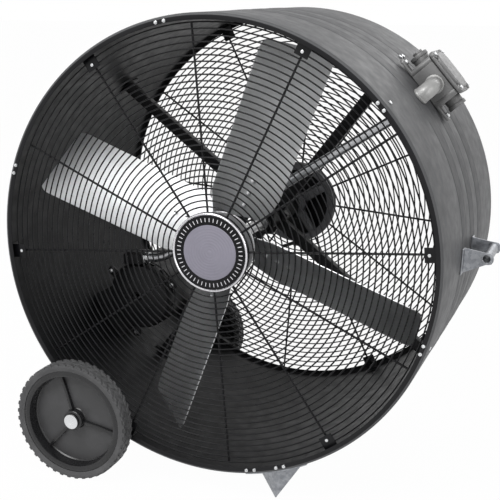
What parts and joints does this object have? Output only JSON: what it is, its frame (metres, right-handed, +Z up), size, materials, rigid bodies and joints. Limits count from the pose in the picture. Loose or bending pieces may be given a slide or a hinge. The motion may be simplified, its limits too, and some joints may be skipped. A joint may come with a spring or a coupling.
{
  "type": "drum fan",
  "caption": "Portable belt-drive drum fan: steel drum with wire guards, paddle blades, belt-driven rotor, transport wheels, pointed feet, carry handle and wiring box.",
  "frame": {"origin": "on the floor under the middle of the overall box", "axes": "+Z up, -Y the way the air leaves (the front), +X towards the carry handle"},
  "size_m": [1.0281, 0.716, 1.0168],
  "materials": {
    "drum_paint": "satin grey paint on rolled steel sheet",
    "guard_black": "black powder coat on steel wire",
    "badge_silver": "silver moulded badge with a black ring",
    "blade_metal": "mill finish rolled sheet",
    "hub_metal": "dark cast metal",
    "shaft_steel": "turned steel",
    "frame_paint": "dark grey paint on steel",
    "bearing_black": "black cast bearing units",
    "pulley_grey": "grey cast pulleys",
    "belt_rubber": "matt black rubber V-belt",
    "motor_paint": "dark paint on the motor",
    "zinc": "bright zinc plate",
    "galvanised": "galvanised sheet and tube",
    "cast_aluminium": "as-cast aluminium",
    "gasket_rubber": "black sheet gasket",
    "wheel_plastic": "dark moulded wheel",
    "tyre_rubber": "matt tyre with diamond tread"
  },
  "bodies": {
    "drum": {"drum_shell": "drum_paint", "front_guard_rings": "guard_black", "front_guard_spokes": "guard_black", "rear_guard_rings": "guard_black", "rear_guard_spokes": "guard_black", "front_guard_tabs": "guard_black", "rear_guard_tabs": "guard_black", "front_badge": "badge_silver", "axle": "shaft_steel", "bearing_housing": "frame_paint", "strut_1": "frame_paint", "strut_2": "frame_paint", "strut_3": "frame_paint", "strut_4": "frame_paint", "motor_cradle": "frame_paint", "axle_bracket_front": "frame_paint", "axle_bracket_rear": "frame_paint", "shaft_bearings": "bearing_black", "drive_belt": "belt_rubber", "motor_housing": "motor_paint", "motor_terminal_box": "motor_paint", "conduit_connectors": "zinc", "cover_screws": "zinc", "box_bolts": "zinc", "axle_caps": "zinc", "axle_spacers": "zinc", "front_foot": "galvanised", "rear_foot": "galvanised", "handle_ear_front": "galvanised", "handle_ear_rear": "galvanised", "handle_tube": "galvanised", "conduit": "galvanised", "junction_box": "cast_aluminium", "box_cover": "cast_aluminium", "conduit_elbow": "cast_aluminium", "port_plug": "cast_aluminium", "box_gasket": "gasket_rubber"},
    "fan_rotor": {"fan_hub": "hub_metal", "fan_shaft": "shaft_steel", "driven_pulley": "pulley_grey", "blade_1": "blade_metal", "blade_2": "blade_metal", "blade_3": "blade_metal", "blade_4": "blade_metal"},
    "motor_rotor": {"motor_shaft": "shaft_steel", "motor_pulley": "pulley_grey"},
    "front_wheel": {"front_tyre": "tyre_rubber", "front_wheel_disc": "wheel_plastic"},
    "rear_wheel": {"rear_tyre": "tyre_rubber", "rear_wheel_disc": "wheel_plastic"}
  },
  "joints": [
    {"name": "fan_spin", "type": "hinge", "parent": "drum", "child": "fan_rotor", "pos_m": [-0.03165, 0, 0.53431], "axis": [0, 1, 0], "continuous": true},
    {"name": "motor_spin", "type": "hinge", "parent": "drum", "child": "motor_rotor", "pos_m": [-0.32567, 0.2, 0.33896], "axis": [0, 1, 0], "continuous": true},
    {"name": "front_wheel_spin", "type": "hinge", "parent": "drum", "child": "front_wheel", "pos_m": [-0.3444, -0.337, 0.134], "axis": [0, 1, 0], "continuous": true},
    {"name": "rear_wheel_spin", "type": "hinge", "parent": "drum", "child": "rear_wheel", "pos_m": [-0.3444, 0.337, 0.134], "axis": [0, 1, 0], "continuous": true}
  ],
  "couplings": [
    {"joint": "motor_spin", "follows": "fan_spin", "ratio": 2.68}
  ]
}
